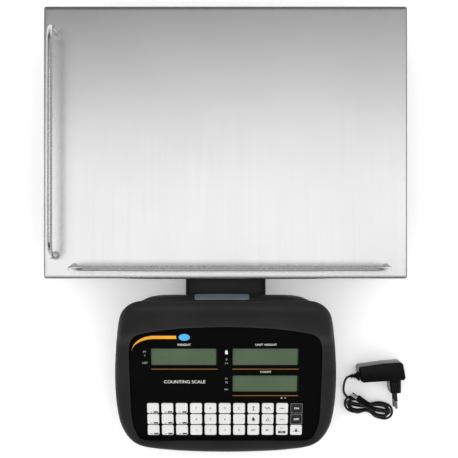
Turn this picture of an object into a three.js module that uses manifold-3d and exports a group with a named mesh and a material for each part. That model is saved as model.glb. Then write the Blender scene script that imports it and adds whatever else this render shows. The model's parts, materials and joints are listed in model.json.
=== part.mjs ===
// Counting scale with a stainless platter on a single load cell, two guard rails, and a tilting
// indicator with three displays and a 33-key keypad, plus its plug-in power adapter.
// Millimetres, +Z up. X is to the right and +Y away from the person who reads the indicator. The
// origin is on the table, under the middle of the scale's outline without the adapter.
import * as THREE from "three";
import { mergeVertices } from "three/addons/utils/BufferGeometryUtils.js";
import Module from "manifold-3d";

const wasm = await Module();
wasm.setup();

// ---- driving dimensions ------------------------------------------------------------------------

const GAP = 0.3; // clearance between pieces that rest on or against each other

// Platter: a sheet-steel pan turned upside down.
const PLATTER = { width: 400, depth: 300, rim: 26, sheet: 1.5, corner: 3, top: 110, y: 101 };

// Guard rails: a bent rod that stands on the platter, one at the left side and one at the front.
const ROD_RADIUS = 3;
const RAIL_HEIGHT = 50; // rod axis above the platter
const RAIL_BEND = 16;
const SIDE_RAIL = { x: -186.5, from: -23, to: 222 };
const FRONT_RAIL = { y: -36.5, from: -166, to: 176 };

// Base: a cast plate on four levelling feet.
const BASE = { width: 340, depth: 240, thickness: 12, bottom: 22, corner: 14 };
const FOOT_INSET = 20; // from the plate's edges to the foot's axis
const FOOT_RADIUS = 19;
const FOOT_HEIGHT = 14;
const STUD_RADIUS = 5;

// Load cell: a bar held at its left end, which carries the platter at its right end.
const CELL = { length: 150, width: 40, height: 30, bottom: 46 };
const CARRIER = { top: 84.2, thickness: 5, armWidth: 30, postRadius: 10, postX: 150, postY: 105 };

// Indicator: everything below is in its own frame, u to the right, v up the face, n out of it.
const FACE = { y: -165.3, z: 80, tilt: 24 };
const PARTING = -4.4; // n of the seam between front and rear shell
const SHELL_BACK = -32;
const WALL = 2.6;
const BEZEL = 3.5; // the bezel's height over the panel
const HOOD = 10; // the hood's height over the panel
// Right half of the shell's outline, from the bottom middle to the top middle, as [u, v].
const SHELL_HALF = [
  [0, -94], [45, -92.7], [75, -90], [93, -86.8], [104, -81.5], [112, -73], [117.5, -62],
  [121, -49], [123.6, -25], [124, 5], [122.5, 32], [120, 58], [116.5, 80], [111, 91],
  [102, 98], [90, 100.6], [60, 101.2], [0, 101.6],
];
const REAR_HALF = [
  [0, -91], [45, -90], [74, -87.5], [92, -84], [103, -78], [112, -68], [118, -52], [121, -25],
  [121.5, 5], [120, 32], [117, 57], [111, 76], [102, 88], [92, 94.5], [82, 98.3], [60, 100.2],
  [0, 100.7],
];
// Right half of the recessed panel's outline.
const PANEL_HALF = [
  [0, -77.5], [85, -77.5], [95, -76], [99.5, -71.5], [106.5, -52], [106.8, 40], [104.5, 53],
  [98, 59.6], [75, 64], [45, 67.8], [0, 69.5],
];
const OVERLAY = 1.2;
const JACK_N = -19; // the power socket's axis, in the right wall
const LENS = { width: 60, height: 13, u: -4, n: -12, top: 101.4 }; // status light in the rear wall

// Keypad and displays.
const KEY = { columns: 11, rows: 3, width: 13.4, height: 13.3, corner: 1.8 };
const KEY_PITCH_U = 16.26;
const KEY_PITCH_V = 14.5;
const KEY_FIRST = { u: -82.3, v: -34.4 };
const KEY_TOP = 1.3;
const KEY_BOTTOM = -3.2;
const DISPLAY = { width: 74, height: 23.6, top: -3, thickness: 5 };
const DISPLAYS = [
  { name: "lcd_weight", u: -46, v: 30.5 },
  { name: "lcd_unit_weight", u: 44.8, v: 30.5 },
  { name: "lcd_count", u: 44.8, v: -3.9 },
];

// Tilt pivot, in the indicator's frame, and the bracket that holds it.
const PIVOT = { v: 26, n: -47, radius: 4 };
const LUG = { inner: 36, outer: 41, radius: 11 };
const BRACKET = { width: 92, sheet: 3, bottom: 26.7, front: -137, back: -20, flange: 12 };
const EAR_RADIUS = 12;

// Power adapter and its cord, beside the indicator.
const ADAPTER = { x: 180.8, y: -160, turn: 3.5, length: 52, depth: 21, height: 38 };
const RELIEF = { side: -4, cone: 4, pitch: 1.85, reach: 9.8 };
const PLUG_BLOCK = { along: 15, width: 13.7, height: 35.3, reach: 15 };
const PIN = { radius: 2, length: 19, spacing: 19 };
const CORD_RADIUS = 1.3;
const HANK = { x: 168, y: -204, turn: -13, length: 57, width: 21, height: 17 };
const DC_PLUG = { x: 175, y: -206.1, turn: -35 };

// ---- materials ---------------------------------------------------------------------------------

const stainless = new THREE.MeshStandardMaterial({ color: 0xd2d4d6, metalness: 1, roughness: 0.28 });
const rodSteel = new THREE.MeshStandardMaterial({ color: 0xc4c7c9, metalness: 1, roughness: 0.2 });
const castMetal = new THREE.MeshStandardMaterial({ color: 0x8f9194, metalness: 0.9, roughness: 0.5 });
const cellMetal = new THREE.MeshStandardMaterial({ color: 0xb4b7ba, metalness: 1, roughness: 0.35 });
const blackPaint = new THREE.MeshStandardMaterial({ color: 0x17181a, metalness: 0.3, roughness: 0.5 });
const shellPlastic = new THREE.MeshStandardMaterial({ color: 0x202124, metalness: 0, roughness: 0.5 });
const panelFilm = new THREE.MeshStandardMaterial({ color: 0x08090a, metalness: 0, roughness: 0.3 });
const keyWhite = new THREE.MeshStandardMaterial({ color: 0xe9e9e8, metalness: 0, roughness: 0.45 });
const keyBlack = new THREE.MeshStandardMaterial({ color: 0x101112, metalness: 0, roughness: 0.45 });
const lcdGreen = new THREE.MeshStandardMaterial({ color: 0x5a6d52, metalness: 0, roughness: 0.25 });
const lensPlastic = new THREE.MeshStandardMaterial({ color: 0x5d6a75, metalness: 0, roughness: 0.3 });
const boardGreen = new THREE.MeshStandardMaterial({ color: 0x1c5a38, metalness: 0, roughness: 0.5 });
const batteryWrap = new THREE.MeshStandardMaterial({ color: 0x2a3f6e, metalness: 0, roughness: 0.5 });
const footRubber = new THREE.MeshStandardMaterial({ color: 0x151515, metalness: 0, roughness: 0.85 });
const cordPlastic = new THREE.MeshStandardMaterial({ color: 0x111213, metalness: 0, roughness: 0.55 });

// ---- geometry helpers --------------------------------------------------------------------------

const root = new THREE.Group();
const indicator = new THREE.Group();
indicator.position.set(0, FACE.y, FACE.z);
indicator.rotation.x = THREE.MathUtils.degToRad(FACE.tilt);
root.add(indicator);

function addMesh(name, geometry, material, group = root) {
  const mesh = new THREE.Mesh(geometry, material);
  mesh.name = name;
  group.add(mesh);
}

function toSolid(geometry) {
  const bare = geometry.clone();
  bare.deleteAttribute("normal");
  bare.deleteAttribute("uv");
  const merged = mergeVertices(bare, 1e-4);
  const vertProperties = new Float32Array(merged.getAttribute("position").array);
  const triVerts = new Uint32Array(merged.index.array);
  return new wasm.Manifold(new wasm.Mesh({ numProp: 3, vertProperties, triVerts }));
}

function toGeometry(solid) {
  const made = solid.getMesh();
  const geometry = new THREE.BufferGeometry();
  geometry.setAttribute("position", new THREE.BufferAttribute(made.vertProperties, made.numProp));
  geometry.setIndex(new THREE.BufferAttribute(made.triVerts, 1));
  geometry.computeVertexNormals();
  return geometry;
}

function joined(geometries) {
  return toGeometry(geometries.map(toSolid).reduce((a, b) => a.add(b)));
}

function cut(geometry, tools) {
  return toGeometry(tools.map(toSolid).reduce((a, b) => a.subtract(b), toSolid(geometry)));
}

// A closed body through rings of equal length, each anticlockwise seen from +Z, lowest ring first.
function loft(rings) {
  const count = rings[0].length;
  const position = rings.flat().flatMap((p) => [p.x, p.y, p.z]);
  const index = [];
  for (let i = 0; i + 1 < rings.length; i++) {
    for (let j = 0; j < count; j++) {
      const next = (j + 1) % count;
      const a = i * count + j;
      const b = i * count + next;
      const c = a + count;
      const d = b + count;
      index.push(a, b, d, a, d, c);
    }
  }
  const top = (rings.length - 1) * count;
  for (const [a, b, c] of THREE.ShapeUtils.triangulateShape(rings[0], [])) {
    index.push(a, c, b);
    index.push(top + a, top + b, top + c);
  }
  const geometry = new THREE.BufferGeometry();
  geometry.setAttribute("position", new THREE.Float32BufferAttribute(position, 3));
  geometry.setIndex(index);
  geometry.computeVertexNormals();
  return geometry;
}

function ring(points, z) {
  return points.map(([x, y]) => new THREE.Vector3(x, y, z));
}

function prism(points, from, to) {
  return loft([ring(points, from), ring(points, to)]);
}

// A prism of [y, z] points that runs along X.
function prismAlongX(points, from, to) {
  const turn = new THREE.Matrix4().makeBasis(
    new THREE.Vector3(0, 1, 0),
    new THREE.Vector3(0, 0, 1),
    new THREE.Vector3(1, 0, 0),
  );
  return prism(points, from, to).applyMatrix4(turn);
}

function roundedRectangle(width, height, radius, steps, x = 0, y = 0) {
  const corners = [[1, -1], [1, 1], [-1, 1], [-1, -1]];
  const points = [];
  corners.forEach(([sx, sy], corner) => {
    for (let i = 0; i <= steps; i++) {
      const angle = (corner - 1 + i / steps) * (Math.PI / 2);
      points.push([
        x + sx * (width / 2 - radius) + radius * Math.cos(angle),
        y + sy * (height / 2 - radius) + radius * Math.sin(angle),
      ]);
    }
  });
  return points;
}

function circle(radius, sides, x = 0, y = 0) {
  return Array.from({ length: sides }, (_, i) => {
    const angle = (2 * Math.PI * i) / sides;
    return [x + radius * Math.cos(angle), y + radius * Math.sin(angle)];
  });
}

function box(width, depth, height, x, y, z) {
  return new THREE.BoxGeometry(width, depth, height).translate(x, y, z);
}

// A body turned about Z from [radius, z] points that start and end on the axis, going upwards.
function turned(profile, sides) {
  const points = profile.map(([r, z]) => new THREE.Vector2(r, z));
  return new THREE.LatheGeometry(points, sides).rotateX(Math.PI / 2);
}

// A full outline from its right half, drawn in by an inset.
function outline(half, inset = 0) {
  const left = half.slice(1, -1).reverse().map(([u, v]) => [-u, v]);
  const points = [...half, ...left];
  const reach = Math.max(...half.map(([u]) => u));
  const low = half[0][1];
  const high = half[half.length - 1][1];
  const middle = (low + high) / 2;
  const scaleU = (reach - inset) / reach;
  const scaleV = ((high - low) / 2 - inset) / ((high - low) / 2);
  return points.map(([u, v]) => [u * scaleU, middle + (v - middle) * scaleV]);
}

// ---- platform ----------------------------------------------------------------------------------

function platter() {
  const { width, depth, rim, sheet, corner, top, y } = PLATTER;
  const outside = roundedRectangle(width, depth, corner, 2, 0, y);
  const edge = roundedRectangle(width - 1, depth - 1, corner - 0.5, 2, 0, y);
  const inside = roundedRectangle(width - 2 * sheet, depth - 2 * sheet, corner - sheet, 1, 0, y);
  const body = loft([ring(outside, top - rim), ring(outside, top - 0.5), ring(edge, top)]);
  addMesh("platter", cut(body, [prism(inside, top - rim - 1, top - sheet)]), stainless);
}

// A rod that rises from a, turns, runs level and comes down at b; a and b are [x, y].
class RailPath extends THREE.Curve {
  constructor(a, b) {
    super();
    this.start = new THREE.Vector3(a[0], a[1], 0);
    this.along = new THREE.Vector3(b[0] - a[0], b[1] - a[1], 0);
    this.span = this.along.length();
    this.along.normalize();
  }
  getPoint(t, target = new THREE.Vector3()) {
    const leg = RAIL_HEIGHT - RAIL_BEND;
    const arc = (RAIL_BEND * Math.PI) / 2;
    const level = this.span - 2 * RAIL_BEND;
    const total = 2 * leg + 2 * arc + level;
    const half = t <= 0.5;
    const s = half ? t * total : (1 - t) * total;
    let across = 0;
    let up = s;
    if (s > leg && s <= leg + arc) {
      const angle = (s - leg) / RAIL_BEND;
      across = RAIL_BEND * (1 - Math.cos(angle));
      up = leg + RAIL_BEND * Math.sin(angle);
    } else if (s > leg + arc) {
      across = RAIL_BEND + s - leg - arc;
      up = RAIL_HEIGHT;
    }
    const distance = half ? across : this.span - across;
    target.copy(this.start).addScaledVector(this.along, distance);
    target.z = PLATTER.top + GAP + up;
    return target;
  }
}

function rail(name, a, b, steps) {
  const section = new THREE.Shape(circle(ROD_RADIUS, 10).map(([x, y]) => new THREE.Vector2(x, y)));
  const extrudePath = new RailPath(a, b);
  addMesh(name, new THREE.ExtrudeGeometry(section, { steps, extrudePath }), rodSteel);
}

function guardRails() {
  rail("side_rail", [SIDE_RAIL.x, SIDE_RAIL.from], [SIDE_RAIL.x, SIDE_RAIL.to], 44);
  rail("front_rail", [FRONT_RAIL.from, FRONT_RAIL.y], [FRONT_RAIL.to, FRONT_RAIL.y], 54);
}

function platterCarrier() {
  const { top, thickness, armWidth, postRadius, postX, postY } = CARRIER;
  const y = PLATTER.y;
  const reach = Math.hypot(postX, postY) + armWidth / 2;
  const turn = Math.atan2(postY, postX);
  const pieces = [];
  for (const side of [1, -1]) {
    const arm = box(2 * reach, armWidth, thickness, 0, 0, top - thickness / 2);
    pieces.push(arm.rotateZ(side * turn).translate(0, y, 0));
  }
  pieces.push(box(150, 90, thickness, 0, y, top - thickness / 2));
  const postTop = PLATTER.top - PLATTER.sheet - GAP;
  for (const sx of [-1, 1]) {
    for (const sy of [-1, 1]) {
      pieces.push(prism(circle(postRadius, 12, sx * postX, y + sy * postY), top - 1, postTop));
    }
  }
  const cellTop = CELL.bottom + CELL.height;
  const bossX = CELL.length / 2 - 20;
  pieces.push(box(36, 36, top - thickness + 1 - cellTop - GAP, bossX, y,
    (top - thickness + 1 + cellTop + GAP) / 2));
  addMesh("platter_carrier", joined(pieces), castMetal);
}

function loadCell() {
  const { length, width, height, bottom } = CELL;
  const middle = bottom + height / 2;
  const bar = box(length, width, height, 0, PLATTER.y, middle);
  // Two round eyes joined by a slot leave the thin bending sections at the top and bottom.
  const eyes = [-18, 18].map((x) => {
    return prism(circle(11, 16), -width, width).rotateX(Math.PI / 2)
      .translate(x, PLATTER.y, middle);
  });
  const slot = box(36, 2 * width, 8, 0, PLATTER.y, middle);
  addMesh("load_cell", cut(bar, [...eyes, slot]), cellMetal);
}

function footPosition(sx, sy) {
  const x = sx * (BASE.width / 2 - FOOT_INSET);
  const y = PLATTER.y + sy * (BASE.depth / 2 - FOOT_INSET);
  return [x, y];
}

function baseFrame() {
  const { width, depth, thickness, bottom, corner } = BASE;
  const y = PLATTER.y;
  const plate = prism(roundedRectangle(width, depth, corner, 4, 0, y), bottom, bottom + thickness);
  const pieces = [plate];
  const holes = [];
  for (const sx of [-1, 1]) {
    for (const sy of [-1, 1]) {
      const [fx, fy] = footPosition(sx, sy);
      pieces.push(prism(circle(15, 16, fx, fy), bottom + 1, bottom + 20));
      holes.push(prism(circle(STUD_RADIUS + GAP, 16, fx, fy), bottom - 1, bottom + 21));
    }
  }
  const cellX = -(CELL.length / 2 - 20);
  const bossTop = CELL.bottom - GAP;
  const plateTop = bottom + thickness;
  pieces.push(box(40, 44, bossTop - plateTop + 1, cellX, y, (bossTop + plateTop - 1) / 2));
  // A tongue at the front edge carries the indicator's bracket.
  const tongueBottom = BRACKET.bottom + BRACKET.sheet + GAP;
  pieces.push(box(80, 40, 42 - tongueBottom, 0, y - depth / 2 - 10, (42 + tongueBottom) / 2));
  addMesh("base_frame", cut(joined(pieces), holes), castMetal);
}

function feet() {
  const profile = [
    [0, 0], [FOOT_RADIUS - 2, 0], [FOOT_RADIUS, 2], [FOOT_RADIUS, 8], [FOOT_RADIUS - 5, FOOT_HEIGHT],
    [STUD_RADIUS, FOOT_HEIGHT], [STUD_RADIUS, 39], [STUD_RADIUS - 1, 40], [0, 40],
  ];
  let number = 1;
  for (const sy of [-1, 1]) {
    for (const sx of [-1, 1]) {
      const [x, y] = footPosition(sx, sy);
      addMesh("foot_" + number, turned(profile, 16).translate(x, y, 0), footRubber);
      number += 1;
    }
  }
}

// ---- indicator ---------------------------------------------------------------------------------

// The pivot's [y, z] in the scale's own frame.
function pivotPoint() {
  const point = new THREE.Vector3(0, PIVOT.v, PIVOT.n);
  point.applyAxisAngle(new THREE.Vector3(1, 0, 0), THREE.MathUtils.degToRad(FACE.tilt));
  return [point.y + FACE.y, point.z + FACE.z];
}

function mountingBracket() {
  const { width, sheet, bottom, front, back, flange } = BRACKET;
  const [py, pz] = pivotPoint();
  const plate = box(width, back - front, sheet, 0, (back + front) / 2, bottom + sheet / 2);
  const arc = Array.from({ length: 13 }, (_, i) => {
    const angle = (Math.PI * i) / 12;
    return [py + EAR_RADIUS * Math.cos(angle), pz + EAR_RADIUS * Math.sin(angle)];
  });
  const ear = [
    [front, bottom], [back, bottom], [back, bottom + flange], [py + 38, bottom + flange], ...arc,
    [front, bottom + flange],
  ];
  const pieces = [plate];
  const holes = [];
  for (const side of [-1, 1]) {
    const middle = side * (width / 2 - sheet / 2);
    pieces.push(prismAlongX(ear, middle - sheet / 2, middle + sheet / 2));
    holes.push(prismAlongX(circle(PIVOT.radius + 0.15, 24, py, pz), middle - 3, middle + 3));
  }
  addMesh("mounting_bracket", cut(joined(pieces), holes), blackPaint);
}

function windowPrism(width, height, u, v, corner) {
  return prism(roundedRectangle(width, height, corner, 1, u, v), -20, 20);
}

function frontShell() {
  const levels = [[PARTING, 1.2], [-1.5, 0], [2, 1.2], [5, 4.5], [8, 9], [HOOD, 17]];
  const body = loft(levels.map(([n, inset]) => ring(outline(SHELL_HALF, inset), n)));
  // Only the hood above the panel keeps the full height: the rest is levelled to the bezel.
  const high = PANEL_HALF.slice(5).filter(([, v]) => v > 45);
  const hoodLine = [
    [-140, -120], [140, -120], [140, 44], ...high.map(([u, v]) => [u, v]),
    ...high.slice(0, -1).reverse().map(([u, v]) => [-u, v]), [-140, 44],
  ];
  const level = prism(hoodLine, BEZEL, 40);
  const recess = prism(outline(PANEL_HALF), -OVERLAY - GAP, 40);
  const windows = DISPLAYS.map(({ u, v }) => {
    return windowPrism(DISPLAY.width + 2.8, DISPLAY.height + 2.8, u, v, 0.3);
  });
  const keysWidth = KEY_PITCH_U * (KEY.columns - 1) + KEY.width + 2;
  const keysHeight = KEY_PITCH_V * (KEY.rows - 1) + KEY.height + 2;
  windows.push(windowPrism(
    keysWidth, keysHeight, KEY_FIRST.u + KEY_PITCH_U * 5, KEY_FIRST.v - KEY_PITCH_V, 2,
  ));
  addMesh("front_shell", cut(body, [level, recess, ...windows]), shellPlastic, indicator);
}

function rearShell() {
  const top = PARTING - GAP;
  const body = loft([
    ring(outline(REAR_HALF, 11), SHELL_BACK),
    ring(outline(REAR_HALF, 5.5), SHELL_BACK + 4),
    ring(outline(REAR_HALF, 3), SHELL_BACK + 11),
    ring(outline(REAR_HALF, 0), SHELL_BACK + 18),
    ring(outline(REAR_HALF, 2), top),
  ]);
  const hollow = loft([
    ring(outline(REAR_HALF, WALL + 8), SHELL_BACK + WALL),
    ring(outline(REAR_HALF, WALL + 3), SHELL_BACK + 11),
    ring(outline(REAR_HALF, WALL), SHELL_BACK + 18),
    ring(outline(REAR_HALF, WALL + 2), top + 1),
  ]);
  const lugs = [-1, 1].map((side) => {
    const arc = Array.from({ length: 13 }, (_, i) => {
      const angle = Math.PI + (Math.PI * i) / 12;
      return [PIVOT.v + LUG.radius * Math.cos(angle), PIVOT.n + LUG.radius * Math.sin(angle)];
    });
    const shape = [...arc, [PIVOT.v + 18, SHELL_BACK + 1], [PIVOT.v - 18, SHELL_BACK + 1]];
    return prismAlongX(shape, ...[side * LUG.inner, side * LUG.outer].sort((a, b) => a - b));
  });
  const pivotHole = prismAlongX(circle(PIVOT.radius + 0.15, 24, PIVOT.v, PIVOT.n), -60, 60);
  const jackHole = box(26, 14.6, 12.6, 112, 0, JACK_N);
  const lensHole = box(60.6, 12, LENS.height + 0.6, LENS.u, LENS.top - 3.3, LENS.n);
  const housing = cut(body, [hollow, jackHole, lensHole]);
  addMesh("rear_shell", cut(joined([housing, ...lugs]), [pivotHole]), shellPlastic, indicator);
}

function keyPosition(row, column) {
  return [KEY_FIRST.u + KEY_PITCH_U * column, KEY_FIRST.v - KEY_PITCH_V * row];
}

function keypadOverlay() {
  const sheet = prism(outline(PANEL_HALF, 0.5), -OVERLAY, 0);
  const holes = DISPLAYS.map(({ u, v }) => windowPrism(DISPLAY.width, DISPLAY.height, u, v, 0.8));
  for (let row = 0; row < KEY.rows; row++) {
    for (let column = 0; column < KEY.columns; column++) {
      const [u, v] = keyPosition(row, column);
      holes.push(windowPrism(KEY.width + 0.6, KEY.height + 0.6, u, v, KEY.corner));
    }
  }
  addMesh("keypad_overlay", cut(sheet, holes), panelFilm, indicator);
}

function keys() {
  for (let row = 0; row < KEY.rows; row++) {
    for (let column = 0; column < KEY.columns; column++) {
      const [u, v] = keyPosition(row, column);
      const foot = roundedRectangle(KEY.width, KEY.height, KEY.corner, 1, u, v);
      const crown = roundedRectangle(KEY.width - 0.8, KEY.height - 0.8, KEY.corner - 0.3, 1, u, v);
      const cap = loft([ring(foot, KEY_BOTTOM), ring(foot, KEY_TOP - 0.5), ring(crown, KEY_TOP)]);
      const dark = column === KEY.columns - 1 && row < 2;
      const name = "key_r" + (row + 1) + "_c" + (column + 1);
      addMesh(name, cap, dark ? keyBlack : keyWhite, indicator);
    }
  }
}

function displays() {
  for (const { name, u, v } of DISPLAYS) {
    const module = box(
      DISPLAY.width + 1.6, DISPLAY.height + 1.6, DISPLAY.thickness,
      u, v, DISPLAY.top - DISPLAY.thickness / 2,
    );
    addMesh(name, module, lcdGreen, indicator);
  }
}

function electronics() {
  const board = prism(roundedRectangle(200, 138, 4, 1, 0, -8), -11.6, -10);
  addMesh("main_board", board, boardGreen, indicator);
  const pack = prism(roundedRectangle(104, 62, 6, 2, 0, 22), SHELL_BACK + WALL + GAP, -13);
  addMesh("battery", pack, batteryWrap, indicator);
  // The power socket: a block in the right wall with a blind bore that opens to the side.
  const block = box(13, 14, 12, 113.2, 0, JACK_N);
  const bore = prism(circle(3.1, 32), 109, 125).rotateY(Math.PI / 2).translate(0, 0, JACK_N);
  addMesh("dc_jack", cut(block, [bore]), cordPlastic, indicator);
}

function statusLight() {
  const { width, height, u, n, top } = LENS;
  const lens = prism(roundedRectangle(width, height, 3, 2, 0, n), 0, 7).rotateX(Math.PI / 2);
  addMesh("status_light_lens", lens.translate(u, top, 0), lensPlastic, indicator);
}

// A hand knob on a cross bolt, which clamps the bracket's ears on the shell's lugs.
function tiltKnob() {
  const [py, pz] = pivotPoint();
  const star = Array.from({ length: 30 }, (_, i) => {
    const angle = (2 * Math.PI * i) / 30;
    const radius = 12.4 + 1.4 * Math.cos(5 * angle);
    return [py + radius * Math.cos(angle), pz + radius * Math.sin(angle)];
  });
  const outside = BRACKET.width / 2 + GAP;
  const head = prismAlongX(star, -outside - 14, -outside);
  const bolt = prismAlongX(circle(PIVOT.radius, 24, py, pz), -outside - 7, outside + 5);
  addMesh("tilt_knob", joined([head, bolt]), blackPaint);
}

// ---- power adapter -----------------------------------------------------------------------------

const adapter = new THREE.Group();
adapter.position.set(ADAPTER.x, ADAPTER.y, 0);
adapter.rotation.z = THREE.MathUtils.degToRad(ADAPTER.turn);
root.add(adapter);

function adapterHousing() {
  const { length, depth, height } = ADAPTER;
  const bevel = 2.5;
  const wide = roundedRectangle(length, depth, 2, 2);
  const narrow = roundedRectangle(length - 2 * bevel, depth - bevel, 1.5, 2);
  const body = loft([
    ring(narrow, 0), ring(wide, bevel), ring(wide, height - bevel), ring(narrow, height),
  ]);
  // The moulded strain relief narrows towards the cord in a row of ribs.
  const profile = [[0, -4], [6, -4], [6, 0], [2.6, RELIEF.cone]];
  for (let i = 0; i < 3; i++) {
    const z = RELIEF.cone + 0.2 + RELIEF.pitch * i;
    profile.push([3.5 - 0.2 * i, z], [3.5 - 0.2 * i, z + 0.9], [2.1, z + 1], [2.1, z + 1.75]);
  }
  profile.push([0, RELIEF.reach]);
  const relief = turned(profile, 12).rotateY(-Math.PI / 2);
  relief.translate(-length / 2, RELIEF.side, height / 2);
  addMesh("adapter_housing", joined([body, relief]), cordPlastic, adapter);
}

function adapterPlug() {
  const { along, width, height, reach } = PLUG_BLOCK;
  const face = -ADAPTER.depth / 2 - GAP;
  const middle = ADAPTER.height / 2;
  const root2d = roundedRectangle(width, height, 5, 3);
  const tip2d = roundedRectangle(width - 1.6, height - 1.6, 4.4, 3);
  const pieces = [loft([ring(root2d, 0), ring(root2d, 1), ring(tip2d, reach)])];
  const pin = [
    [0, reach - 2], [PIN.radius, reach - 2], [PIN.radius, reach + PIN.length - 1.5],
    [1, reach + PIN.length], [0, reach + PIN.length],
  ];
  for (const side of [-1, 1]) {
    pieces.push(turned(pin, 12).translate(0, (side * PIN.spacing) / 2, 0));
  }
  const plug = joined(pieces).rotateX(Math.PI / 2).translate(along, face, middle);
  addMesh("adapter_plug", plug, cordPlastic, adapter);
}

// Where the cord leaves the strain relief, and the points it runs through to the hank's left end.
const CORD_ROUTE = [
  [144.9, -166.25, 19], [142, -167.6, 18], [140.2, -170.6, 15.8], [139.2, -175, 12.4],
  [138.8, -180, 8.6], [139, -184.6, 5.4], [140.1, -188.6, 3.4], [142.8, -191.6, 2.6],
];

function adapterCord() {
  const points = CORD_ROUTE.map((p) => new THREE.Vector3(...p));
  const extrudePath = new THREE.CatmullRomCurve3(points);
  const section = new THREE.Shape(circle(CORD_RADIUS, 8).map(([x, y]) => new THREE.Vector2(x, y)));
  const tube = new THREE.ExtrudeGeometry(section, { steps: 16, extrudePath });
  addMesh("adapter_cord", tube, cordPlastic);
}

// The rest of the cord is folded up and tied in the middle, so the bundle has a waist there.
function cordHank() {
  const { length, width, height, x, y, turn } = HANK;
  const count = 24;
  const rings = [[0.2, 0.72], [2.5, 1], [height * 0.65, 1], [height, 0.6]].map(([z, share]) => {
    const points = Array.from({ length: count }, (_, i) => {
      const angle = (2 * Math.PI * i) / count;
      const waist = 0.5 + 0.5 * Math.min(1, Math.abs(Math.cos(angle)) * 1.5);
      const u = (length / 2) * Math.cos(angle) * (0.86 + 0.14 * share);
      return [u, (width / 2) * Math.sin(angle) * waist * share];
    });
    return ring(points, z);
  });
  const bundle = loft(rings).rotateZ(THREE.MathUtils.degToRad(turn)).translate(x, y, 0);
  addMesh("cord_hank", bundle, cordPlastic);
}

// The barrel plug rests on the hank and points back to the left.
function dcPlug() {
  const profile = [
    [0, 0], [1.9, 0], [2.9, 8.5], [3.8, 9.5], [3.9, 25], [3.3, 26.3], [2.35, 26.5], [2.35, 33.6],
    [2, 34], [0, 34],
  ];
  const plug = turned(profile, 14).rotateY(-Math.PI / 2).rotateY(THREE.MathUtils.degToRad(-4));
  plug.rotateZ(THREE.MathUtils.degToRad(DC_PLUG.turn));
  plug.translate(DC_PLUG.x, DC_PLUG.y, HANK.height + 5.8);
  addMesh("dc_plug", plug, cordPlastic);
}

platter();
guardRails();
platterCarrier();
loadCell();
baseFrame();
feet();
mountingBracket();
frontShell();
rearShell();
keypadOverlay();
keys();
displays();
electronics();
statusLight();
tiltKnob();
adapterHousing();
adapterPlug();
adapterCord();
cordHank();
dcPlug();

export default root;
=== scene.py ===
"""Counting scale: the visible model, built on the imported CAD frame. Metres, +Z up."""
import json
import math

import bmesh
import bpy
from mathutils import Matrix, Vector


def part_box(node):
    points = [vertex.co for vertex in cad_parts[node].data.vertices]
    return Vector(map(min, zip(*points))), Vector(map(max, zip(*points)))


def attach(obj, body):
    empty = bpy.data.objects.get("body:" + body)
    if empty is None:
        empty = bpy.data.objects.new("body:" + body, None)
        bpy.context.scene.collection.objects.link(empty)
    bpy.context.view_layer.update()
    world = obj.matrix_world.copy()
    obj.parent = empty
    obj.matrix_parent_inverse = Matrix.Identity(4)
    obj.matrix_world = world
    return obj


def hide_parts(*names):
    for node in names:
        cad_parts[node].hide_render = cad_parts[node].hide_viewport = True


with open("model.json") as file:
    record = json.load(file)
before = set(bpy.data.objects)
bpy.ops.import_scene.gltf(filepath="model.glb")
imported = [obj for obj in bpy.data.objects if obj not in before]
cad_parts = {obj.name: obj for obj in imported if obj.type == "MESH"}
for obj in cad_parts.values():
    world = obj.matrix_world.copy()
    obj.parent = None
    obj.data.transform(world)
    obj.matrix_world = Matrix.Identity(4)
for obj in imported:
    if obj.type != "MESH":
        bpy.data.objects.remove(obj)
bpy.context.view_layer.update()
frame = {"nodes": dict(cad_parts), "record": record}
MM = 0.001
NODES = frame["nodes"]
RECORD = frame["record"]

# ---- places taken from the frame ----


def joint_position(name):
    for joint in RECORD["behaviour"]["joints"]:
        if joint["name"] == name:
            return Vector(joint["pos_m"])


def centre(node):
    low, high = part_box(node)
    return (low + high) / 2


PLATTER_LOW, PLATTER_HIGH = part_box("platter")
PLATTER_MIDDLE = (PLATTER_LOW + PLATTER_HIGH) / 2
PIVOT = joint_position("indicator_tilt")
PIVOT_V = 26  # where the pivot lies in the indicator's frame, in mm
PIVOT_N = -47
TILT = math.radians(24)
FACE_V = Vector((0, math.cos(TILT), math.sin(TILT)))
FACE_N = Vector((0, -math.sin(TILT), math.cos(TILT)))
FACE_ORIGIN = PIVOT - PIVOT_V * MM * FACE_V - PIVOT_N * MM * FACE_N
FACE_MATRIX = Matrix.Translation(FACE_ORIGIN) @ Matrix.Rotation(TILT, 4, "X")


def on_face(u, v, n):
    """A point given in mm in the indicator's frame: u right, v up the face, n out of it."""
    return FACE_ORIGIN + Vector((u * MM, 0, 0)) + v * MM * FACE_V + n * MM * FACE_N


def face_place(node):
    """The (u, v) of a symmetrical piece on the indicator, in mm."""
    offset = centre(node) - FACE_ORIGIN
    return offset.x / MM, offset.dot(FACE_V) / MM


# ---- camera, light and floor ----


def new_object(name, data):
    obj = bpy.data.objects.new(name, data)
    bpy.context.scene.collection.objects.link(obj)
    return obj


CAMERA_HEIGHT = 1.38  # over the platter
FRAME_WIDTH = 0.503  # how much of the platter's plane the picture spans


def add_camera():
    data = bpy.data.cameras.new("camera")
    data.sensor_width = 36
    data.lens = 36 * CAMERA_HEIGHT / FRAME_WIDTH
    camera = new_object("camera", data)
    camera.location = (0.0038, 0.006, PLATTER_HIGH.z + CAMERA_HEIGHT)
    bpy.context.scene.camera = camera


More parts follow.
